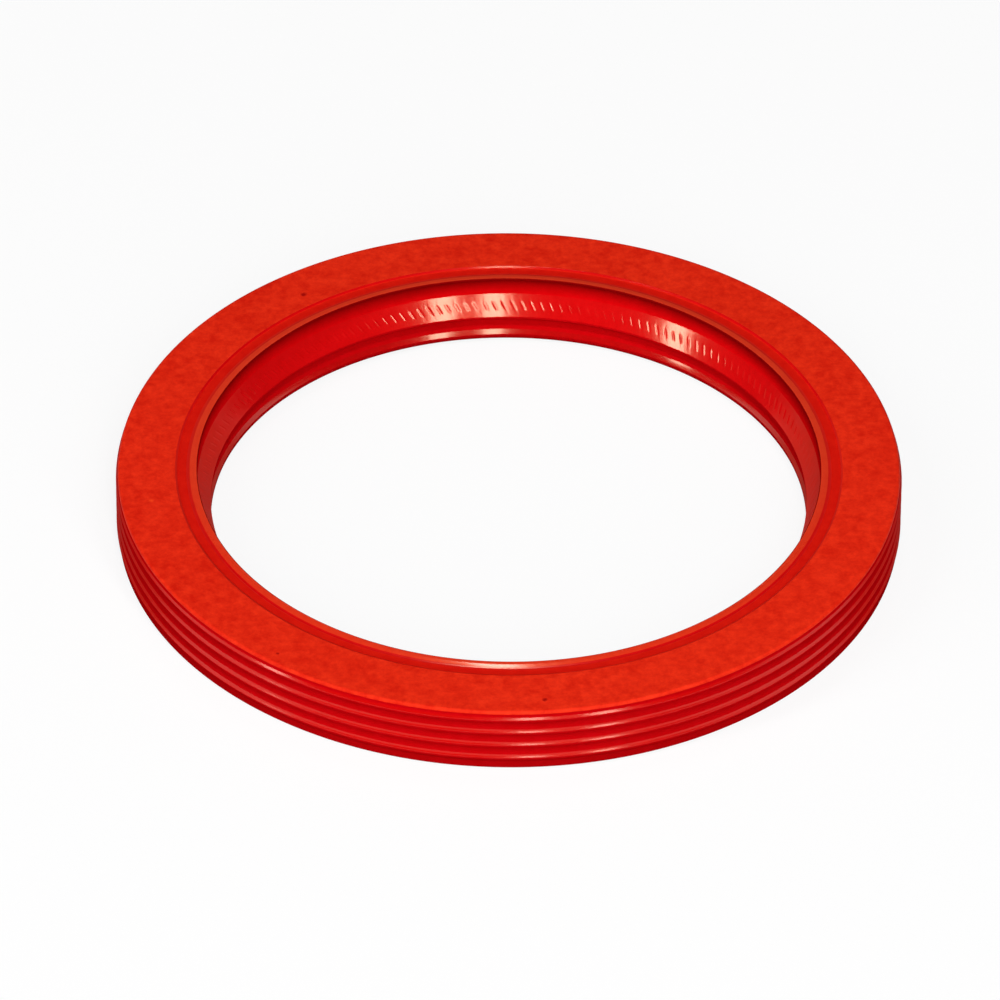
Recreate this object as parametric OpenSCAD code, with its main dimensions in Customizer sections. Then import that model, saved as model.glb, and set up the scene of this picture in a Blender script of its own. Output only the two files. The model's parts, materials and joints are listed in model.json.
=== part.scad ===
// Rotary shaft oil seal for an 85 mm shaft in a 110 mm housing, 10 mm wide.
// A silicone body is moulded round an angled steel case, and a garter spring
// sits in the groove behind the lip. It lies on its oil side, air side up.
// Each section is drawn as [radius, height] and turned about the Z axis.

/* [Fit] */
// Diameter of the shaft that the lip runs on
shaft_d = 85; // [60:0.5:88]
// How much smaller than the shaft the free lip is, on the diameter
lip_grip = 1.2; // [0.6:0.1:1.8]
// Diameter of the housing bore that the seal is pressed into
housing_d = 110; // [107:0.5:150]
// How much larger than the housing bore the free outer ribs are, on the diameter
press_grip = 0.4; // [0.2:0.05:0.8]
// Width of the seal along the shaft
seal_w = 10; // [10:0.5:20]

/* [Outer wall] */
// Number of sealing ribs round the outer wall
wall_ribs = 4; // [2:1:4]
// Distance from one outer rib to the next
wall_rib_pitch = 2.2; // [1.7:0.1:2.2]
// Height of the lowest outer rib above the oil side
wall_rib_start = 2.0; // [1.4:0.1:2]
// Width of the flat on top of an outer rib
wall_rib_land = 0.3; // [0.2:0.05:0.4]
// Depth of the hollow between two outer ribs
wall_rib_h = 0.25; // [0.1:0.05:0.3]
// Radius where the first and the last outer rib run out into the wall
wall_rib_soft = 0.5; // [0.1:0.05:0.5]
// Radius of the edge between the wall and the air side
face_edge_r = 0.6; // [0.2:0.05:0.6]
// Chamfer at the foot of the wall
foot_chamfer = 0.35; // [0.1:0.05:0.6]

/* [Steel case] */
// Sheet thickness of the case
case_t = 1.2; // [0.8:0.1:1.4]
// Silicone over the case on the outer wall
wall_cover = 1.45; // [1.1:0.05:1.8]
// Silicone over the case on the air side
face_cover = 1.1; // [0.9:0.1:1.3]
// Silicone under the edge of the case on the oil side
foot_cover = 0.9; // [0.6:0.1:1.4]
// Inner radius of the bend in the case
case_bend_r = 0.5; // [0.3:0.1:0.8]
// Radial distance from the lip to the inner edge of the case
case_reach = 5.1; // [4.9:0.1:5.6]

/* [Mouth] */
// Radial distance from the lip to the edge of the mouth
mouth_step = 1.85; // [1.7:0.05:2]
// Width of the flat rim round the mouth
rim_w = 0.7; // [0.6:0.05:0.9]
// Thickness of the rim at its edge
rim_t = 0.25; // [0.2:0.05:0.35]
// Depth of the groove in the face, behind the rim
face_groove_depth = 0.25; // [0.15:0.05:0.3]
// Width of the floor of the groove in the face
face_groove_w = 1.45; // [1.1:0.05:1.6]
// Slope from the rim down into the groove, in degrees
rim_fall = 22; // [18:1:26]
// Radius where the rim turns down into the groove
rim_turn_r = 1.4; // [0.8:0.1:1.5]
// Slope of the step between the groove and the face, in degrees
face_step_slope = 38; // [30:1:48]
// Radius in the foot of the step
face_step_r = 0.35; // [0.2:0.05:0.4]
// Slope of the underside of the rim, in degrees
rim_slope = 30; // [20:1:40]
// How far the recess under the rim reaches behind the rim's edge
recess_reach = 0.6; // [0.5:0.05:0.8]
// Radius in the corner of the recess under the rim
recess_r = 0.25; // [0.15:0.05:0.35]
// Angle between the wall under the rim and the shaft, in degrees
recess_draft = 8; // [4:1:12]
// Radius where the wall under the rim turns into the cone
cone_top_r = 2.2; // [1.4:0.1:2.6]

/* [Lip] */
// Depth of the sealing edge below the air side
edge_depth = 5.7; // [5.5:0.1:5.9]
// Length of the flat on the sealing edge that touches the shaft
edge_land = 0.3; // [0.2:0.05:0.4]
// Angle between the ribbed cone and the shaft, in degrees
cone_angle = 35; // [31:1:37]
// Angle between the oil face of the lip and the shaft, in degrees
oil_angle = 40; // [35:1:45]
// Radial depth of the oil face, down to the neck
oil_depth = 0.3; // [0.2:0.05:0.35]
// Radius where the oil face turns into the neck
neck_r = 0.2; // [0.1:0.05:0.3]
// Angle between the neck and the shaft, in degrees
neck_angle = 13; // [12:1:18]
// Radial depth of the vee between the sealing edge and the nose
vee_depth = 0.6; // [0.5:0.05:0.65]
// Radius in the bottom of the vee
vee_r = 0.5; // [0.3:0.05:0.7]
// Angle between the upper face of the nose and the shaft, in degrees
nose_angle = 26; // [25:1:34]
// Depth of the nose below the air side
nose_depth = 9.65; // [9.6:0.05:9.8]
// Width of the nose
nose_w = 2.3; // [2:0.1:2.6]
// Radius of the nose on the shaft side
nose_r = 0.9; // [0.6:0.05:0.9]
// Radius of the outer edge of the nose
nose_back_r = 0.5; // [0.3:0.05:0.6]
// Thickness of the skirt that carries the lip, behind the cone
skirt_t = 1.4; // [1.25:0.05:1.6]
// How far inside the edge of the case the heel of the skirt begins
heel_start = 0.5; // [0.3:0.05:0.6]
// How far the heel of the skirt spreads over the inside of the case
heel_w = 1.9; // [1:0.1:2.5]
// Radius where the skirt turns into its heel
heel_r = 0.6; // [0.3:0.1:0.8]
// How far the back of the lip stands outside the edge of the spring groove
back_step = 0.3; // [0.2:0.05:0.4]
// Radius where the back of the lip turns into the skirt
back_corner_r = 0.4; // [0.2:0.05:0.5]

/* [Pumping ribs] */
// Distance from one pumping rib to the next, round the lip
lip_rib_pitch = 1.345; // [1.2:0.005:3]
// Angle between a pumping rib and the steepest line down the cone, in degrees
lip_rib_lean = 27; // [0:1:35]
// Length of a pumping rib
lip_rib_len = 1.8; // [1:0.1:2.2]
// Width of a pumping rib where it meets the cone
lip_rib_w = 0.7; // [0.4:0.05:0.75]
// How far a pumping rib stands out of the cone
lip_rib_h = 0.15; // [0.08:0.01:0.2]
// Distance up the cone from the sealing edge to the middle of a pumping rib
lip_rib_mid = 1.5; // [1.3:0.05:1.7]

/* [Garter spring] */
// Outer diameter of the spring's coil
coil_d = 2.2; // [1.8:0.1:2.4]
// Radial distance from the lip to the middle of the coil
coil_inset = 2.85; // [2.8:0.05:3]
// How far the coil sits above the sealing edge
coil_rise = 0.3; // [0.1:0.05:0.5]
// Gap between the coil and its groove
coil_gap = 0.05; // [0.03:0.01:0.1]
// How far the groove's edges close round the coil, past its middle
coil_hook = 0.25; // [0.1:0.05:0.4]

/* [Hidden] */
$fn = 180;

// Share of a corner's radius that keeps neighbouring arcs from running into each other
snug = 0.97;

// Main radii
lip_r = (shaft_d - lip_grip) / 2;
crest_r = (housing_d + press_grip) / 2;
wall_r = crest_r - wall_rib_h;
case_out_r = wall_r - wall_cover;
case_in_r = case_out_r - case_t;
case_end_r = lip_r + case_reach;
mouth_r = lip_r + mouth_step;

// Outer ribs: height of the last one, and the round hollow between each two, whose slope at the
// crests also runs the first and the last rib out into the wall
wall_rib_top = wall_rib_start + (wall_ribs - 1) * wall_rib_pitch;
hollow_half = (wall_rib_pitch - wall_rib_land) / 2;
hollow_r = (pow(hollow_half, 2) + pow(wall_rib_h, 2)) / (2 * wall_rib_h);
rib_run_out = wall_rib_land / 2 + wall_rib_h / tan(asin(hollow_half / hollow_r));

// Middle and number of the pumping ribs, and how deep they are rooted in the cone
lip_rib_root = 0.05;
rib_mid_r = lip_r + lip_rib_mid * sin(cone_angle);
lip_ribs = round(2 * PI * rib_mid_r / lip_rib_pitch);

// Main heights
case_top_z = seal_w - face_cover;
case_flange_z = case_top_z - case_t;
edge_z = seal_w - edge_depth;
cone_z = edge_z + edge_land;
nose_z = seal_w - nose_depth;
coil_z = edge_z + coil_rise;
coil_r = lip_r + coil_inset;

// Groove in the face: its floor, from the rim out to the step
groove_z = seal_w - face_groove_depth;
groove_in_r = mouth_r + rim_w + face_groove_depth / tan(rim_fall);
groove_out_r = groove_in_r + face_groove_w;
face_in_r = groove_out_r + face_groove_depth / tan(face_step_slope);

// Corner of the recess under the rim, and the height where its wall meets the cone
recess_x = mouth_r + recess_reach;
recess_z = seal_w - rim_t - recess_reach * tan(rim_slope);
draft_tan = tan(recess_draft);
cone_tan = tan(cone_angle);
cone_top_z = (recess_x - lip_r + cone_z * cone_tan - recess_z * draft_tan) / (cone_tan - draft_tan);
function cone_r(z) = lip_r + (z - cone_z) * cone_tan;

// Edges of the spring groove, and the back of the lip above them
hook_r = coil_r + coil_hook;
hook_h = sqrt(pow(coil_d / 2 + coil_gap, 2) - pow(coil_hook, 2));
back_r = hook_r + back_step;
under_z = cone_z + (back_r - skirt_t / cos(cone_angle) - lip_r) / cone_tan;

// A direction of length 1
function unit(v) = v / norm(v);

// Points that round corner b of the path a, b, c with radius r
function corner(a, b, c, r) =
    let (u = unit(a - b), v = unit(c - b), half = acos(u * v) / 2)
    let (centre = b + unit(u + v) * r / sin(half))
    let (p = b + u * r / tan(half) - centre, q = b + v * r / tan(half) - centre)
    let (from = atan2(p[1], p[0]), turn = atan2(p[0] * q[1] - p[1] * q[0], p * q))
    let (steps = max(2, ceil(abs(turn) / 9)))
    [for (i = [0:steps]) centre + r * [cos(from + turn * i / steps), sin(from + turn * i / steps)]];

// A closed outline whose points are [radius, height, corner radius]
function rounded(path) =
    let (n = len(path), at = function (i) [path[i % n][0], path[i % n][1]])
    [for (i = [0:n - 1]) let (r = path[i][2])
        each r > 0 ? corner(at(i + n - 1), at(i), at(i + 1), r) : [at(i)]];

// Foot, the band that carries the outer ribs, and outer edge, from the oil side up to the air side
function wall_path() = [
    [case_in_r, 0, 0],
    [wall_r - foot_chamfer, 0, 0],
    [wall_r, foot_chamfer, 0],
    [wall_r, wall_rib_start - rib_run_out, wall_rib_soft],
    [crest_r, wall_rib_start - wall_rib_land / 2, 0],
    [crest_r, wall_rib_top + wall_rib_land / 2, 0],
    [wall_r, wall_rib_top + rib_run_out, wall_rib_soft],
    [wall_r, seal_w, face_edge_r]
];

// Face groove, rim, and the recess under the rim, down to the top of the cone
function mouth_path() = [
    [face_in_r, seal_w, face_step_r / 3],
    [groove_out_r, groove_z, face_step_r],
    [groove_in_r, groove_z, rim_turn_r / 2],
    [mouth_r + rim_w, seal_w, rim_turn_r],
    [mouth_r, seal_w, rim_t / 2 * snug],
    [mouth_r, seal_w - rim_t, rim_t / 3],
    [recess_x, recess_z, recess_r],
    [cone_r(cone_top_z), cone_top_z, cone_top_r]
];

// Sealing edge, neck, vee and nose on the shaft side, then the back of the nose up to the spring groove
function lip_path() =
    let (neck_z = edge_z - oil_depth / tan(oil_angle))
    let (vee_z = neck_z - (vee_depth - oil_depth) / tan(neck_angle))
    [
        [lip_r, cone_z, 0],
        [lip_r, edge_z, 0],
        [lip_r + oil_depth, neck_z, neck_r],
        [lip_r + vee_depth, vee_z, vee_r],
        [lip_r, vee_z - vee_depth / tan(nose_angle), 0],
        [lip_r, nose_z, nose_r],
        [lip_r + nose_w, nose_z, nose_back_r],
        [hook_r, coil_z - hook_h, 0],
        [coil_r, coil_z, 0],
        [hook_r, coil_z + hook_h, 0]
    ];

// Underside of the skirt and its heel, out to the bare inside of the case
function skirt_path() = [
    [back_r, under_z, back_corner_r],
    [case_end_r - heel_start, under_z, heel_r],
    [case_end_r + heel_w, case_flange_z, 0],
    [case_in_r, case_flange_z, 0]
];

// Section of the angled case
function case_path() = [
    [case_in_r, foot_cover, 0],
    [case_out_r, foot_cover, 0],
    [case_out_r, case_top_z, case_bend_r + case_t],
    [case_end_r, case_top_z, 0],
    [case_end_r, case_flange_z, 0],
    [case_in_r, case_flange_z, case_bend_r]
];

module case_section() {
    polygon(rounded(case_path()));
}

module coil_section(r) {
    translate([coil_r, coil_z])
        circle(r);
}

// Hollow between two outer ribs
module wall_hollow(z) {
    translate([crest_r - wall_rib_h + hollow_r, z])
        circle(hollow_r);
}

// One pumping rib: a low ridge that leans across the cone, rooted a little below its surface
module lip_rib() {
    root_w = lip_rib_w * (lip_rib_h + lip_rib_root) / lip_rib_h;
    translate([rib_mid_r, 0, cone_z + lip_rib_mid * cos(cone_angle)])
        rotate([0, cone_angle, 0])
            rotate([-lip_rib_lean, 0, 0])
                linear_extrude(lip_rib_len, center = true)
                    polygon([[-lip_rib_h, 0], [lip_rib_root, -root_w / 2], [lip_rib_root, root_w / 2]]);
}

// Silicone body, with the case's space, the spring groove and the outer hollows cut out of its section
module seal_body() {
    color([0.87, 0.16, 0.07]) {
        rotate_extrude()
            difference() {
                polygon(rounded(concat(wall_path(), mouth_path(), lip_path(), skirt_path())));
                case_section();
                coil_section(coil_d / 2 + coil_gap);
                for (i = [1:wall_ribs - 1])
                    wall_hollow(wall_rib_start + i * wall_rib_pitch - wall_rib_pitch / 2);
            }
        for (i = [0:lip_ribs - 1])
            rotate(i * 360 / lip_ribs)
                lip_rib();
    }
}

// Angled ring pressed from sheet steel
module steel_case() {
    color([0.42, 0.43, 0.44])
        rotate_extrude()
            case_section();
}

// Outer form of the close-wound spring
module garter_spring() {
    color([0.72, 0.72, 0.7])
        rotate_extrude()
            coil_section(coil_d / 2);
}

seal_body();
steel_case();
garter_spring();
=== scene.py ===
import json
import math
import random
from collections import namedtuple

import bpy
from mathutils import Matrix, Vector

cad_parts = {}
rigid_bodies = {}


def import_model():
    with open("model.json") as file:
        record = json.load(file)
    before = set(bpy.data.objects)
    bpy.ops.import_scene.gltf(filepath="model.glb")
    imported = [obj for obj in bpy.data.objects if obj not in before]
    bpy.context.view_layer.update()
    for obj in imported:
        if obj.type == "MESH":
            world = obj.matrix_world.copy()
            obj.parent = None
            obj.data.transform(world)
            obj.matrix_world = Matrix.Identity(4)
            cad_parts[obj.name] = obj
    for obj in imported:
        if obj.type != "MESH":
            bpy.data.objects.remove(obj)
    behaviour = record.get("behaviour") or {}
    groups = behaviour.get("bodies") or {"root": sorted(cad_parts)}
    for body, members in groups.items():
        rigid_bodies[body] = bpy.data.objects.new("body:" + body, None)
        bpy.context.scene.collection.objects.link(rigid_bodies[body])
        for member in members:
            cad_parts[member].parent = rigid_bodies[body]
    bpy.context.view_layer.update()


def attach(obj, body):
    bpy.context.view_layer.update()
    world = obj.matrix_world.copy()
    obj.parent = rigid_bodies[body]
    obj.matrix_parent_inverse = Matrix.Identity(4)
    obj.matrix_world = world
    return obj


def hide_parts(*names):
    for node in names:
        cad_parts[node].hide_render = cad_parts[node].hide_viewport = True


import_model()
scene = bpy.context.scene
mm = 0.001


# every piece but the coil is a section, drawn as radius and height, that is turned about the upright axis
def roundCorner(a, b, c, radius, stepAngle=15):
    u = (a - b).normalized()
    v = (c - b).normalized()
    half = math.acos(max(-1.0, min(1.0, u.dot(v)))) / 2
    centre = b + (u + v).normalized() * (radius / math.sin(half))
    p = b + u * (radius / math.tan(half)) - centre
    q = b + v * (radius / math.tan(half)) - centre
    start = math.atan2(p.y, p.x)
    turn = math.atan2(p.x * q.y - p.y * q.x, p.dot(q))
    steps = max(2, math.ceil(abs(math.degrees(turn)) / stepAngle))
    angles = [start + turn * i / steps for i in range(steps + 1)]
    return [centre + Vector((math.cos(a), math.sin(a))) * radius for a in angles]


def roundedSection(path):
    # path: (radius, height, corner radius, name of the surface that starts there)
    points = []
    for i, (r, z, soft, surface) in enumerate(path):
        if soft > 0:
            here = Vector((r, z))
            before = Vector(path[i - 1][:2])
            after = Vector(path[(i + 1) % len(path)][:2])
            points += [(p.x, p.y, surface) for p in roundCorner(before, here, after, soft)]
        else:
            points.append((r, z, surface))
    return points


def makePiece(name, verts, faces, faceSlots, materials, sharpAngle):
    mesh = bpy.data.meshes.new(name)
    mesh.from_pydata(verts, [], faces)
    for material in materials:
        mesh.materials.append(material)
    mesh.polygons.foreach_set("material_index", faceSlots)
    mesh.polygons.foreach_set("use_smooth", [True] * len(faces))
    mesh.set_sharp_from_angle(angle=math.radians(sharpAngle))
    mesh.validate()
    piece = bpy.data.objects.new(name, mesh)
    scene.collection.objects.link(piece)
    return piece


def onRing(r, z, azimuth):
    return (r * math.cos(azimuth) * mm, r * math.sin(azimuth) * mm, z * mm)


def tanOf(degrees):
    return math.tan(math.radians(degrees))


def triangleCount(piece):
    return sum(len(face.vertices) - 2 for face in piece.data.polygons)


def feed(tree, socket, value):
    # a socket is linked into, a plain value is set
    if isinstance(value, bpy.types.NodeSocket):
        tree.links.new(value, socket)
    else:
        socket.default_value = value


def addNode(tree, kind, **settings):
    node = tree.nodes.new(kind)
    for key, value in settings.items():
        if key in node.inputs:
            feed(tree, node.inputs[key], value)
        else:
            setattr(node, key, value)
    return node


def mathNode(tree, operation, *values, clamp=False):
    node = addNode(tree, "ShaderNodeMath", operation=operation, use_clamp=clamp)
    for socket, value in zip(node.inputs, values):
        feed(tree, socket, value)
    return node.outputs[0]


def mapRange(tree, value, low, high, top=1.0, interpolation="LINEAR"):
    ends = {"From Min": low, "From Max": high, "To Max": top}
    node = addNode(tree, "ShaderNodeMapRange", interpolation_type=interpolation, Value=value, **ends)
    return node.outputs["Result"]


def mixColors(tree, factor, a, b):
    return addNode(tree, "ShaderNodeMix", data_type="RGBA", Factor=factor, A=a, B=b).outputs["Result"]


def noise(tree, **settings):
    place = tree.nodes.new("ShaderNodeTexCoord").outputs["Object"]
    return addNode(tree, "ShaderNodeTexNoise", Vector=place, **settings).outputs["Fac"]


def newGroup(name, inputs, outputs):
    group = bpy.data.node_groups.new(name, "ShaderNodeTree")
    for label, (kind, value) in inputs.items():
        group.interface.new_socket(label, in_out="INPUT", socket_type="NodeSocket" + kind).default_value = value
    for label, kind in outputs.items():
        group.interface.new_socket(label, in_out="OUTPUT", socket_type="NodeSocket" + kind)
    return group, group.nodes.new("NodeGroupInput").outputs, group.nodes.new("NodeGroupOutput").inputs


mottling = {"cloudScale": 55.0, "cloudShare": 0.35, "from": 0.32, "to": 0.68, "grainScale": 5200.0, "relief": 0.5,
            "shadeColor": (0.02, 0.0005, 0.0005, 1)}


def mouldFinishAndPaintedShadeGroup(m):
    # cloudy mottle and fine grain of moulded silicone, from the piece's own position, and painted shade that darkens
    # the colour between two heights
    group, given, leave = newGroup(
        "mouldFinishAndPaintedShade",
        {"Color": ("Color", (0.6, 0.01, 0.005, 1)), "Pale Color": ("Color", (0.7, 0.03, 0.01, 1)),
         "Mottle": ("Float", 0.5), "Mottle Scale": ("Float", 900.0), "Roughness": ("Float", 0.5),
         "Roughness Spread": ("Float", 0.08), "Shade": ("Float", 0.0), "Shade From": ("Float", 0.0),
         "Shade To": ("Float", 1.0)},
        {"Color": "Color", "Roughness": "Float", "Height": "Float"})
    cloud = noise(group, Scale=m["cloudScale"], Detail=3.0)
    mottle = noise(group, Scale=given["Mottle Scale"], Detail=4.0, Roughness=0.7)
    grain = noise(group, Scale=m["grainScale"], Detail=1.0)
    spread = mapRange(group, mottle, m["from"], m["to"])
    both = mathNode(group, "MULTIPLY_ADD", cloud, m["cloudShare"], spread)
    amount = mathNode(group, "MULTIPLY", both, given["Mottle"])
    tint = mixColors(group, amount, given["Color"], given["Pale Color"])
    # painted shade grows between two heights, either way up
    place = group.nodes.new("ShaderNodeTexCoord").outputs["Object"]
    height = addNode(group, "ShaderNodeSeparateXYZ", Vector=place).outputs["Z"]
    paintedShadeMask = mapRange(group, height, given["Shade From"], given["Shade To"], given["Shade"])
    feed(group, leave["Color"], mixColors(group, paintedShadeMask, tint, m["shadeColor"]))
    centred = mathNode(group, "SUBTRACT", spread, 0.5)
    rough = mathNode(group, "MULTIPLY_ADD", centred, given["Roughness Spread"], given["Roughness"])
    feed(group, leave["Roughness"], rough)
    feed(group, leave["Height"], mathNode(group, "MULTIPLY_ADD", spread, m["relief"], grain))
    return group


def metalFinishGroup(roughnessRise):
    # faint cloudy tarnish for the steel pieces
    group, given, leave = newGroup(
        "metalFinish",
        {"Color": ("Color", (0.3, 0.3, 0.3, 1)), "Dull Color": ("Color", (0.15, 0.15, 0.15, 1)),
         "Scale": ("Float", 300.0), "Roughness": ("Float", 0.35)},
        {"Color": "Color", "Roughness": "Float", "Height": "Float"})
    cloud = noise(group, Scale=given["Scale"], Detail=6.0, Roughness=0.6)
    feed(group, leave["Color"], mixColors(group, cloud, given["Color"], given["Dull Color"]))
    rough = mathNode(group, "MULTIPLY_ADD", cloud, roughnessRise, given["Roughness"])
    feed(group, leave["Roughness"], rough)
    feed(group, leave["Height"], cloud)
    return group


# specks of dust and mould dirt on the face: x, y and radius in millimetres
specks = {
    "places": {"Dark": [(-29.5, 39.7, 0.50), (-31.7, -42.4, 0.25), (5.1, -52.1, 0.42)],
               "Pale": [(-50.0, -8.4, 0.38)]},
    "colors": {"Dark": (0.36, 0.001, 0.001, 1), "Pale": (0.85, 0.045, 0.008, 1)},
    "faceZ": 10.0, "outerEdge": 1.6, "innerEdge": 0.9, "wobbleScale": 4000.0,
}


def faceMarksGroup(s):
    # one mask for each kind of speck, 1 in the middle of a speck and 0 off it
    group, _, leave = newGroup("faceMarks", {}, {label: "Float" for label in s["places"]})
    place = group.nodes.new("ShaderNodeTexCoord").outputs["Object"]
    wobble = noise(group, Scale=s["wobbleScale"], Detail=2.0)
    for label, places in s["places"].items():
        mask = None
        for x, y, radius in places:
            gap = addNode(group, "ShaderNodeVectorMath", operation="DISTANCE")
            feed(group, gap.inputs[0], place)
            feed(group, gap.inputs[1], (x * mm, y * mm, s["faceZ"] * mm))
            uneven = mathNode(group, "MULTIPLY_ADD", wobble, radius * mm, gap.outputs["Value"])
            spot = mapRange(group, uneven, s["outerEdge"] * radius * mm, s["innerEdge"] * radius * mm)
            mask = spot if mask is None else mathNode(group, "MAXIMUM", mask, spot)
        feed(group, leave[label], mask)
    return group


def addSpecks(material, s):
    tree = material.node_tree
    socket = tree.nodes["Principled BSDF"].inputs["Base Color"]
    marks = addNode(tree, "ShaderNodeGroup", node_tree=faceMarksGroup(s))
    for label, color in s["colors"].items():
        below = socket.links[0].from_socket
        feed(tree, socket, mixColors(tree, marks.outputs[label], below, color))


def polishFrontOnly(tree, rough, dullness):
    # rubber shines where it is seen from the front and has only a soft sheen where it is seen from the side
    fadeFrom, fadeTo = 0.25, 0.50
    principled = tree.nodes["Principled BSDF"].inputs
    facing = addNode(tree, "ShaderNodeLayerWeight", Blend=0.5).outputs["Facing"]
    fade = mapRange(tree, facing, fadeFrom, fadeTo, interpolation="SMOOTHSTEP")
    feed(tree, principled["Roughness"], mathNode(tree, "MULTIPLY_ADD", fade, dullness, rough, clamp=True))
    feed(tree, principled["Coat Weight"], mathNode(tree, "SUBTRACT", 1.0, fade))


def finishedMaterial(name, group, look):
    material = bpy.data.materials.new(name)
    material.use_nodes = True
    tree = material.node_tree
    principled = tree.nodes["Principled BSDF"].inputs
    for key, value in look["shader"].items():
        principled[key].default_value = value
    finish = addNode(tree, "ShaderNodeGroup", node_tree=group)
    for key, value in look["finish"].items():
        finish.inputs[key].default_value = value
    strength, distance = look["bump"]
    bump = addNode(tree, "ShaderNodeBump", Strength=strength, Distance=distance * mm, Height=finish.outputs["Height"])
    feed(tree, principled["Base Color"], finish.outputs["Color"])
    feed(tree, principled["Normal"], bump.outputs["Normal"])
    if "dullness" in look:
        polishFrontOnly(tree, finish.outputs["Roughness"], look["dullness"])
    else:
        feed(tree, principled["Roughness"], finish.outputs["Roughness"])
    return material


def siliconeFinish(color, paleColor, roughness, roughnessSpread, mottle=0.5, mottleScale=700.0, shade=(0, 0, 1)):
    # shade: amount of painted shade, and the heights in millimetres where it starts and where it is full
    amount, start, full = shade
    return {"Color": (*color, 1), "Pale Color": (*paleColor, 1), "Mottle": mottle, "Mottle Scale": mottleScale,
            "Roughness": roughness, "Roughness Spread": roughnessSpread,
            "Shade": amount, "Shade From": start * mm, "Shade To": full * mm}


def gloss(level, tint, coatIor=None, coatRoughness=None):
    values = {"Specular IOR Level": level, "Specular Tint": (*tint, 1)}
    if coatIor:
        values.update({"Coat IOR": coatIor, "Coat Roughness": coatRoughness})
    return values


# bump: strength, and distance in millimetres
silicone = {
    "face": {
        "finish": siliconeFinish((0.60, 0.005, 0.001), (0.83, 0.028, 0.007), 0.60, 0.10, 0.85, 750.0),
        "shader": gloss(0.15, (1.0, 0.70, 0.40)), "bump": (0.35, 0.05)},
    "wall": {
        "finish": siliconeFinish((0.50, 0.001, 0.001), (0.59, 0.002, 0.003), 0.17, 0.04),
        "shader": gloss(0.3, (1.0, 0.50, 0.15), 1.33, 0.15), "bump": (0.05, 0.03), "dullness": 0.6},
    # painted shade darkens the lip below 4 mm, fully by 2 mm, towards its nose
    "lip": {
        "finish": siliconeFinish((0.56, 0.001, 0.002), (0.67, 0.002, 0.004), 0.15, 0.03,
                                 shade=(0.22, 4.0, 2.0)),
        "shader": gloss(0.6, (1.0, 0.70, 0.30), 1.35, 0.13), "bump": (0.05, 0.03), "dullness": 0.6},
    # undersides and hollows are duller than the crests, which handling has polished; their colour is a little darker
    # than the crests' as painted shade, and painted shade darkens them further near the foot, below 2.2 mm
    "hollow": {
        "finish": siliconeFinish((0.46, 0.001, 0.002), (0.56, 0.002, 0.005), 0.50, 0.05,
                                 shade=(0.2, 2.2, 1.4)),
        "shader": {"Specular IOR Level": 0.0}, "bump": (0.10, 0.03)},
    # the thin rim is painted lighter and more orange, as painted light for the light that shines through it
    "rim": {
        "finish": siliconeFinish((0.69, 0.024, 0.007), (0.77, 0.045, 0.012), 0.14, 0.05),
        "shader": gloss(0.6, (1.0, 0.65, 0.30), 1.4, 0.08), "bump": (0.03, 0.03), "dullness": 0.5},
    # painted shade darkens the recess under the rim towards its top, where the rim shades it
    "recess": {
        "finish": siliconeFinish((0.55, 0.001, 0.002), (0.66, 0.002, 0.004), 0.50, 0.05,
                                 shade=(0.66, 7.3, 9.4)),
        "shader": {"Specular IOR Level": 0.0}, "bump": (0.10, 0.03)},
    "groove": {
        "finish": siliconeFinish((0.59, 0.004, 0.002), (0.72, 0.012, 0.004), 0.45, 0.05),
        "shader": gloss(0.1, (1.0, 0.60, 0.30)), "bump": (0.10, 0.03)},
}
steel = {
    "case": {
        "finish": {"Color": (0.30, 0.31, 0.32, 1), "Dull Color": (0.14, 0.14, 0.15, 1), "Scale": 420.0,
                   "Roughness": 0.36},
        "shader": {"Metallic": 1.0}, "bump": (0.15, 0.04)},
    "spring": {
        "finish": {"Color": (0.58, 0.57, 0.55, 1), "Dull Color": (0.36, 0.35, 0.34, 1), "Scale": 900.0,
                   "Roughness": 0.2},
        "shader": {"Metallic": 1.0}, "bump": (0.05, 0.02)},
}

mouldFinishAndPaintedShade = mouldFinishAndPaintedShadeGroup(mottling)
metalFinish = metalFinishGroup(roughnessRise=0.2)
siliconeLooks = {name: finishedMaterial("silicone" + name.capitalize(), mouldFinishAndPaintedShade, look)
                 for name, look in silicone.items()}
addSpecks(siliconeLooks["face"], specks)
caseSteel = finishedMaterial("caseSteel", metalFinish, steel["case"])
springSteel = finishedMaterial("springSteel", metalFinish, steel["spring"])
print("materials ready")


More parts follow.
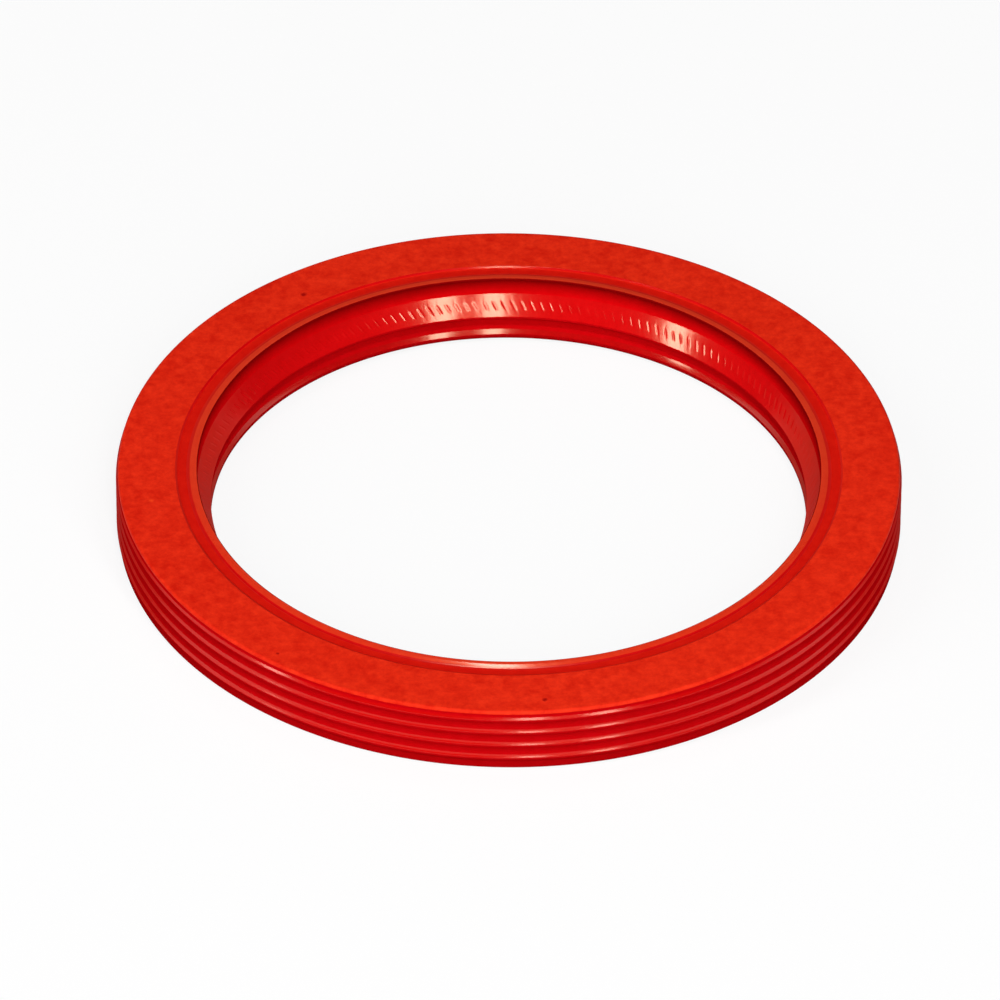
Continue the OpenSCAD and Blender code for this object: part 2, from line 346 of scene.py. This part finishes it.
moulding = {
    "lipR": 41.9, "crestR": 55.2, "width": 10.0,
    "wallRibs": 4, "wallRibPitch": 2.2, "wallRibStart": 2.0, "wallRibLand": 0.3, "wallRibHeight": 0.25,
    "wallRibSoft": 0.5, "crestSoft": 0.15, "hollowSteps": 12, "shinySteps": 2,
    "faceEdgeR": 0.42, "footChamfer": 0.35, "footSoft": 0.1,
    "coverWall": 1.45, "coverFace": 1.1, "coverFoot": 0.9, "caseThickness": 1.2, "caseBend": 0.5, "caseReach": 5.1,
    "mouthStep": 1.85, "rimWidth": 0.7, "rimThickness": 0.25, "grooveDepth": 0.25, "grooveWidth": 1.45,
    "rimFall": 22, "rimTurnR": 2.5, "rimFootR": 1.25, "rimTopR": 0.12, "rimUnderR": 0.25 / 3,
    "stepSlope": 38, "stepR": 0.35, "stepTopR": 0.35 / 3, "rimSlope": 30,
    "recessReach": 0.6, "recessR": 0.25, "recessDraft": 8, "coneTopR": 2.2, "coneTopSpan": 0.31,
    "edgeDepth": 5.7, "edgeLand": 0.3, "edgeSoft": 0.04, "coneAngle": 35,
    "oilAngle": 40, "oilDepth": 0.3, "neckR": 0.2, "neckAngle": 13, "veeDepth": 0.6, "veeR": 0.5,
    "noseAngle": 26, "noseDepth": 9.65, "noseWidth": 2.3, "noseSplit": 0.6,
    "noseCrestSoft": 0.3, "noseR": 0.9, "noseBackR": 0.5,
    "coilD": 2.2, "coilInset": 2.85, "coilRise": 0.3, "coilGap": 0.05, "coilHook": 0.25, "hookSoft": 0.05,
    "springGrooveSteps": 16,
    "skirtThickness": 1.4, "heelStart": 0.5, "heelWidth": 1.9, "heelR": 0.6, "backStep": 0.3, "backCornerR": 0.4,
    "flatMargin": 0.2,  # extra row beside a rounded edge, which keeps the flat next to it evenly shaded
    "pumpRibs": 200, "pumpLean": 27, "pumpLength": 1.45, "pumpHeight": 0.03, "pumpMiddle": 1.6,
    "liftSeed": 7, "liftSpread": 0.06, "sharpAngle": 38,
    # along one pumping rib, in from each end: distance and share of its height
    "pumpEnds": [(-0.08, 0.0), (0.0, 0.35), (0.12, 0.9), (0.3, 1.0)],
    # across one pumping rib: distance from its crest line and share of its height
    "pumpAcross": [(-0.42, 0.0), (-0.22, 0.0), (-0.13, 0.5), (-0.04, 0.95),
                   (0.04, 0.95), (0.13, 0.5), (0.22, 0.0), (0.42, 0.0)],
}
# the finish that each surface of the section has
finishOf = {
    "face": "face", "step": "face", "wall": "wall", "groove": "lip", "grooveFloor": "groove", "rim": "rim",
    "recess": "recess", "cone": "lip", "nose": "lip", "edge": "hollow", "vee": "hollow", "springGroove": "hollow",
    "under": "hollow", "bond": "hollow", "foot": "hollow", "hollow": "hollow",
}
Row = namedtuple("Row", "r z surface share isFine turn")


def wallSection(m, wallR, caseInR):
    # foot, the outer ribs with a round hollow between each two, and the outer edge of the face
    hollowHalf = (m["wallRibPitch"] - m["wallRibLand"]) / 2
    hollowR = (hollowHalf ** 2 + m["wallRibHeight"] ** 2) / (2 * m["wallRibHeight"])
    hollowTurn = math.asin(hollowHalf / hollowR)
    half = m["wallRibLand"] / 2
    runOut = half + m["wallRibHeight"] / math.tan(hollowTurn)
    path = [(caseInR, 0, m["footSoft"], "foot"), (wallR - m["footChamfer"], 0, m["footSoft"], "foot"),
            (wallR, m["footChamfer"], m["footSoft"], "hollow"),
            (wallR, m["wallRibStart"] - runOut, m["wallRibSoft"], "hollow")]
    for i in range(m["wallRibs"]):
        z = m["wallRibStart"] + i * m["wallRibPitch"]
        path += [(m["crestR"], z - half, m["crestSoft"], "hollow"), (m["crestR"], z + half, m["crestSoft"], "wall")]
        if i < m["wallRibs"] - 1:
            middle = z + m["wallRibPitch"] / 2
            for k in range(1, m["hollowSteps"]):
                a = hollowTurn * (2 * k / m["hollowSteps"] - 1)
                surface = "wall" if k <= m["shinySteps"] else "hollow"
                path.append((wallR + hollowR * (1 - math.cos(a)), middle + hollowR * math.sin(a), 0, surface))
    top = m["wallRibStart"] + (m["wallRibs"] - 1) * m["wallRibPitch"]
    path += [(wallR, top + runOut, m["wallRibSoft"], "hollow"), (wallR, m["width"], m["faceEdgeR"], "face"),
             (wallR - m["faceEdgeR"] - m["flatMargin"], m["width"], 0, "face")]
    return path


def mouthSection(m, coneZ):
    # groove in the face, thin rim, and the recess under it down to the cone
    mouthR = m["lipR"] + m["mouthStep"]
    grooveZ = m["width"] - m["grooveDepth"]
    grooveInR = mouthR + m["rimWidth"] + m["grooveDepth"] / tanOf(m["rimFall"])
    grooveOutR = grooveInR + m["grooveWidth"]
    faceInR = grooveOutR + m["grooveDepth"] / tanOf(m["stepSlope"])
    recessR = mouthR + m["recessReach"]
    recessZ = m["width"] - m["rimThickness"] - m["recessReach"] * tanOf(m["rimSlope"])
    draft, cone = tanOf(m["recessDraft"]), tanOf(m["coneAngle"])
    coneTopZ = (recessR - m["lipR"] + coneZ * cone - recessZ * draft) / (cone - draft)
    coneTopR = m["lipR"] + (coneTopZ - coneZ) * cone
    return [(faceInR + m["flatMargin"], m["width"], 0, "step"), (faceInR, m["width"], m["stepTopR"], "groove"),
            (grooveOutR, grooveZ, m["stepR"], "grooveFloor"), (grooveInR, grooveZ, m["rimFootR"], "groove"),
            (mouthR + m["rimWidth"], m["width"], m["rimTurnR"], "rim"),
            (mouthR, m["width"], m["rimTopR"], "recess"),
            (mouthR, m["width"] - m["rimThickness"], m["rimUnderR"], "recess"),
            (recessR, recessZ, m["recessR"], "recess"), (coneTopR, coneTopZ, m["coneTopR"], "recess"),
            (coneTopR - m["coneTopSpan"], coneTopZ - m["coneTopSpan"] / cone, 0, "cone")]


def lipSection(m, edgeZ, coneZ):
    # sealing edge, vee, nose, and the spring groove as the inner part of a circle round the coil
    neckZ = edgeZ - m["oilDepth"] / tanOf(m["oilAngle"])
    veeZ = neckZ - (m["veeDepth"] - m["oilDepth"]) / tanOf(m["neckAngle"])
    noseZ = m["width"] - m["noseDepth"]
    noseTopZ = veeZ - m["veeDepth"] / tanOf(m["noseAngle"])
    lipR, split = m["lipR"], m["noseSplit"]
    path = [(lipR, coneZ, m["edgeSoft"], "edge"), (lipR, edgeZ, m["edgeSoft"], "vee"),
            (lipR + m["oilDepth"], neckZ, m["neckR"], "vee"), (lipR + m["veeDepth"], veeZ, m["veeR"], "vee"),
            (lipR + m["veeDepth"] * split, noseTopZ + (veeZ - noseTopZ) * split, 0, "nose"),
            (lipR, noseTopZ, m["noseCrestSoft"], "foot"),
            (lipR, noseZ, m["noseR"], "foot"), (lipR + m["noseWidth"], noseZ, m["noseBackR"], "foot")]
    coilR, coilZ = lipR + m["coilInset"], edgeZ + m["coilRise"]
    grooveRadius = m["coilD"] / 2 + m["coilGap"]
    mouthAngle = math.acos(m["coilHook"] / grooveRadius)
    steps = m["springGrooveSteps"]
    for i in range(steps + 1):
        a = -mouthAngle - (2 * math.pi - 2 * mouthAngle) * i / steps
        soft = m["hookSoft"] if i in (0, steps) else 0
        path.append((coilR + grooveRadius * math.cos(a), coilZ + grooveRadius * math.sin(a), soft, "springGroove"))
    return path


def backSection(m, coneZ, caseInR, caseOutR):
    # underside of the skirt with its heel, then the space of the steel case
    caseEndR = m["lipR"] + m["caseReach"]
    caseTop = m["width"] - m["coverFace"]
    caseFlange = caseTop - m["caseThickness"]
    backR = m["lipR"] + m["coilInset"] + m["coilHook"] + m["backStep"]
    skirtIn = m["skirtThickness"] / math.cos(math.radians(m["coneAngle"]))
    underZ = coneZ + (backR - skirtIn - m["lipR"]) / tanOf(m["coneAngle"])
    return [(backR, underZ, m["backCornerR"], "under"), (caseEndR - m["heelStart"], underZ, m["heelR"], "under"),
            (caseEndR + m["heelWidth"], caseFlange, 0, "bond"), (caseEndR, caseFlange, 0, "bond"),
            (caseEndR, caseTop, 0, "bond"), (caseOutR, caseTop, m["caseBend"] + m["caseThickness"], "bond"),
            (caseOutR, m["coverFoot"], 0, "bond"), (caseInR, m["coverFoot"], 0, "foot")]


def bodySection(m):
    wallR = m["crestR"] - m["wallRibHeight"]
    caseOutR = wallR - m["coverWall"]
    caseInR = caseOutR - m["caseThickness"]
    edgeZ = m["width"] - m["edgeDepth"]
    coneZ = edgeZ + m["edgeLand"]
    path = wallSection(m, wallR, caseInR) + mouthSection(m, coneZ)
    path += lipSection(m, edgeZ, coneZ) + backSection(m, coneZ, caseInR, caseOutR)
    return roundedSection(path), coneZ


def pumpRows(m):
    # rows across the slanted ribs: distance up the cone and share of the rib's height
    reach = m["pumpLength"] / 2 * math.cos(math.radians(m["pumpLean"]))
    low, high = m["pumpMiddle"] - reach, m["pumpMiddle"] + reach
    rising = [(low + inward, share) for inward, share in m["pumpEnds"]]
    falling = [(high - inward, share) for inward, share in reversed(m["pumpEnds"])]
    return rising + [(m["pumpMiddle"], 1.0)] + falling


def bodyRows(m, along, ribR):
    # the section's rows, with the fine rows of the pumping ribs put in where the cone ends; the rows above
    # the ribs are turned as far as the ribs lean, so that the columns run straight on
    section, coneZ = bodySection(m)
    leanTan = tanOf(m["pumpLean"])
    fineRows = []
    for distance, share in reversed(pumpRows(m)):
        p = Vector((m["lipR"], coneZ)) + along * distance
        fineRows.append(Row(p.x, p.y, "cone", share, True, distance * leanTan / ribR))
    surfaces = [surface for _, _, surface in section]
    firstTurned = surfaces.index("step")
    lastCone = len(surfaces) - 1 - surfaces[::-1].index("cone")
    turns = [fineRows[0].turn if firstTurned <= i <= lastCone else 0.0 for i in range(len(section))]
    rows = [Row(*point, 0.0, False, turn) for point, turn in zip(section, turns)]
    return rows[:lastCone + 1] + fineRows + rows[lastCone + 1:]


def stitch(coarse, fine, fineFirst):
    # five triangles between one coarse step and the four fine steps beside it
    c0, c1 = coarse
    g = fine
    if fineFirst:
        return [(c0, g[0], g[1]), (c0, g[1], g[2]), (c0, g[2], c1), (c1, g[2], g[3]), (c1, g[3], g[4])]
    return [(c0, g[1], g[0]), (c0, g[2], g[1]), (c0, c1, g[2]), (c1, g[3], g[2]), (c1, g[4], g[3])]


def buildBody(m):
    coneAngle = math.radians(m["coneAngle"])
    along = Vector((math.sin(coneAngle), math.cos(coneAngle)))
    outward = Vector((-math.cos(coneAngle), math.sin(coneAngle)))
    ribR = m["lipR"] + m["pumpMiddle"] * along.x
    ribStep = 2 * math.pi / m["pumpRibs"]
    fine = [(k * ribStep + across / ribR, share) for k in range(m["pumpRibs"]) for across, share in m["pumpAcross"]]
    finePerCoarse = 4
    coarse = fine[::finePerCoarse]
    randomLift = random.Random(m["liftSeed"])
    lift = [1 + randomLift.uniform(-m["liftSpread"], m["liftSpread"]) for _ in range(m["pumpRibs"])]

    rows = bodyRows(m, along, ribR)
    verts, starts = [], []
    for row in rows:
        starts.append(len(verts))
        for k, (azimuth, across) in enumerate(fine if row.isFine else coarse):
            ribLift = lift[k // len(m["pumpAcross"])] if row.isFine else 0
            raised = row.share * across * m["pumpHeight"] * ribLift
            verts.append(onRing(row.r + outward.x * raised, row.z + outward.y * raised, azimuth + row.turn))

    finishes = list(siliconeLooks)
    faces, slots = [], []
    for i, row in enumerate(rows):
        below = (i + 1) % len(rows)
        a, b = starts[i], starts[below]
        if row.isFine == rows[below].isFine:
            count = len(fine) if row.isFine else len(coarse)
            band = [(a + j, a + (j + 1) % count, b + (j + 1) % count, b + j) for j in range(count)]
        else:
            band = []
            coarseStart, fineStart = (b, a) if row.isFine else (a, b)
            for j in range(len(coarse)):
                pair = (coarseStart + j, coarseStart + (j + 1) % len(coarse))
                beside = [fineStart + (finePerCoarse * j + k) % len(fine) for k in range(finePerCoarse + 1)]
                band += stitch(pair, beside, row.isFine)
        faces += band
        slots += [finishes.index(finishOf[row.surface])] * len(band)
    return makePiece("siliconeBody", verts, faces, slots, siliconeLooks.values(), m["sharpAngle"])


siliconeBody = buildBody(moulding)
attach(siliconeBody, "root")
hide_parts("seal_body")
print("silicone body:", triangleCount(siliconeBody), "triangles")


case = {"outR": 53.5, "endR": 47.0, "topZ": 8.9, "footZ": 0.9, "thickness": 1.2, "bend": 0.5, "cutEdge": 0.08,
        "segments": 360, "sharpAngle": 40}


def buildCase(c):
    # an angled ring: upright wall, bend and inward flange
    inR = c["outR"] - c["thickness"]
    flangeZ = c["topZ"] - c["thickness"]
    section = roundedSection([
        (inR, c["footZ"], c["cutEdge"], "case"), (c["outR"], c["footZ"], c["cutEdge"], "case"),
        (c["outR"], c["topZ"], c["bend"] + c["thickness"], "case"), (c["endR"], c["topZ"], c["cutEdge"], "case"),
        (c["endR"], flangeZ, c["cutEdge"], "case"), (inR, flangeZ, c["bend"], "case")])
    n = c["segments"]
    verts = [onRing(r, z, 2 * math.pi * j / n) for r, z, _ in section for j in range(n)]
    faces = []
    for i in range(len(section)):
        a, b = i * n, (i + 1) % len(section) * n
        faces += [(a + j, a + (j + 1) % n, b + (j + 1) % n, b + j) for j in range(n)]
    return makePiece("caseRing", verts, faces, [0] * len(faces), [caseSteel], c["sharpAngle"])


caseRing = buildCase(case)
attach(caseRing, "root")
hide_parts("steel_case")
print("steel case:", triangleCount(caseRing), "triangles")


spring = {"ringR": 44.75, "z": 4.6, "coilD": 2.2, "wireD": 0.4, "turns": 680, "stepsPerTurn": 14, "wireSides": 6,
          "jointTurns": 5, "jointDip": 0.2, "sharpAngle": 80}


def buildSpring(s):
    wireR = s["wireD"] / 2
    coilMean = s["coilD"] / 2 - wireR
    steps = s["turns"] * s["stepsPerTurn"]
    sides = s["wireSides"]
    up = Vector((0, 0, 1))
    verts = []
    for i in range(steps):
        turnNow = i / s["stepsPerTurn"]
        ring = 2 * math.pi * i / steps
        coil = 2 * math.pi * turnNow
        # the tapered end screwed into the other one shows as a short narrower stretch
        fromJoint = min(turnNow, s["turns"] - turnNow) / s["jointTurns"]
        radius = coilMean - s["jointDip"] * math.exp(-fromJoint * fromJoint)
        outR = Vector((math.cos(ring), math.sin(ring), 0))
        side = up.cross(outR)
        spoke = outR * math.cos(coil) + up * math.sin(coil)
        centre = outR * s["ringR"] + up * s["z"] + spoke * radius
        path = (up * math.cos(coil) - outR * math.sin(coil)) * radius + side * (s["ringR"] / s["turns"])
        cross = path.normalized().cross(spoke)
        for k in range(sides):
            a = 2 * math.pi * k / sides
            verts.append(tuple((centre + (spoke * math.cos(a) + cross * math.sin(a)) * wireR) * mm))
    faces = []
    for i in range(steps):
        a, b = i * sides, (i + 1) % steps * sides
        faces += [(a + k, b + k, b + (k + 1) % sides, a + (k + 1) % sides) for k in range(sides)]
    return makePiece("springCoil", verts, faces, [0] * len(faces), [springSteel], s["sharpAngle"])


springCoil = buildSpring(spring)
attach(springCoil, "root")
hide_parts("garter_spring")
print("garter spring:", triangleCount(springCoil), "triangles")


studio = {
    # metres; the floor lies a hair under the seal, so that no two faces share a plane
    "floorSize": 16.0, "floorZ": -0.02 * mm, "floorEdge": 0.64, "floorRoughness": 0.9,
    "floorColor": (0.9, 0.9, 0.9, 1), "floorBounce": (0.35, 0.35, 0.35, 1), "floorGlow": 0.86,
    "worldColor": (1.0, 1.0, 1.0, 1), "worldStrength": 0.02,
    # toward: direction from the seal to the light; size: width and length
    "lights": {
        "leftStrip": {"toward": (-0.747, -0.381, 0.545), "distance": 1.2, "size": (0.15, 1.33), "power": 7.9},
        "frontStrip": {"toward": (0.080, -0.762, 0.643), "distance": 1.2, "size": (0.15, 1.68), "power": 10.3},
        "rightStrip": {"toward": (0.354, -0.760, 0.545), "distance": 1.2, "size": (0.15, 1.33), "power": 7.9},
        "backStrip": {"toward": (-0.012, 0.342, 0.940), "distance": 1.3, "size": (0.08, 0.40), "power": 1.2},
    },
}


def paleFloor(s):
    # white to the camera and in reflections, with a soft shadow; a darker bounce on the object
    material = bpy.data.materials.new("paleFloor")
    material.use_nodes = True
    tree = material.node_tree
    rays = tree.nodes.new("ShaderNodeLightPath").outputs
    cameraOrGlossy = mathNode(tree, "ADD", rays["Is Camera Ray"], rays["Is Glossy Ray"])
    seen = mathNode(tree, "ADD", cameraOrGlossy, rays["Is Transmission Ray"], clamp=True)
    principled = tree.nodes["Principled BSDF"]
    feed(tree, principled.inputs["Roughness"], s["floorRoughness"])
    feed(tree, principled.inputs["Specular IOR Level"], 0.0)
    feed(tree, principled.inputs["Base Color"], mixColors(tree, seen, s["floorBounce"], s["floorColor"]))
    glow = tree.nodes.new("ShaderNodeEmission")
    mix = addNode(tree, "ShaderNodeMixShader", Fac=mathNode(tree, "MULTIPLY", seen, s["floorGlow"]))
    feed(tree, mix.inputs[1], principled.outputs["BSDF"])
    feed(tree, mix.inputs[2], glow.outputs["Emission"])
    feed(tree, tree.nodes["Material Output"].inputs["Surface"], mix.outputs["Shader"])
    return material


def buildFloor(s):
    # a low wall round the floor keeps the reflections at a low angle pale too
    h = s["floorSize"] / 2
    corners = [(-h, -h), (h, -h), (h, h), (-h, h)]
    verts = [(x, y, z) for z in (s["floorZ"], s["floorEdge"]) for x, y in corners]
    walls = [(i, (i + 1) % 4, (i + 1) % 4 + 4, i + 4) for i in range(4)]
    floorMesh = bpy.data.meshes.new("floor")
    floorMesh.from_pydata(verts, [], [(0, 1, 2, 3)] + walls)
    floorMesh.materials.append(paleFloor(s))
    floor = bpy.data.objects.new("floor", floorMesh)
    scene.collection.objects.link(floor)


def buildLights(s):
    world = bpy.data.worlds.new("studio")
    world.use_nodes = True
    background = world.node_tree.nodes["Background"]
    background.inputs["Color"].default_value = s["worldColor"]
    background.inputs["Strength"].default_value = s["worldStrength"]
    scene.world = world
    for name, strip in s["lights"].items():
        data = bpy.data.lights.new(name, "AREA")
        data.shape = "RECTANGLE"
        data.size, data.size_y = strip["size"]
        data.energy = strip["power"]
        light = bpy.data.objects.new(name, data)
        toLight = Vector(strip["toward"]).normalized()
        light.location = toLight * strip["distance"]
        light.rotation_euler = toLight.to_track_quat("Z", "Y").to_euler()
        scene.collection.objects.link(light)


# degrees and metres; sealCentre is where the middle of the seal's foot lies in the picture, in pixels
view = {"elevation": 38.0, "distance": 1.743, "focalPixels": 12368, "imageWidth": 1000, "sensorWidth": 36,
        "sealCentre": (508.67, 522.2), "roll": 0.38, "clip": (0.05, 20)}


def buildCamera(v):
    e = math.radians(v["elevation"])
    back = Vector((0, -math.cos(e), math.sin(e)))
    up = Vector((0, math.sin(e), math.cos(e)))
    perPixel = v["distance"] / v["focalPixels"]
    aside, down = (place - v["imageWidth"] / 2 for place in v["sealCentre"])
    aim = (Vector((-1, 0, 0)) * aside + up * down) * perPixel
    data = bpy.data.cameras.new("photoView")
    data.sensor_width = v["sensorWidth"]
    data.lens = v["focalPixels"] / v["imageWidth"] * data.sensor_width
    data.clip_start, data.clip_end = v["clip"]
    camera = bpy.data.objects.new("photoView", data)
    look = back.to_track_quat("Z", "Y").to_matrix().to_4x4()
    roll = Matrix.Rotation(math.radians(v["roll"]), 4, "Z")
    camera.matrix_world = Matrix.Translation(aim + back * v["distance"]) @ look @ roll
    scene.collection.objects.link(camera)
    scene.camera = camera


buildFloor(studio)
buildLights(studio)
buildCamera(view)
scene.view_settings.view_transform = "Standard"
print("studio and camera ready")
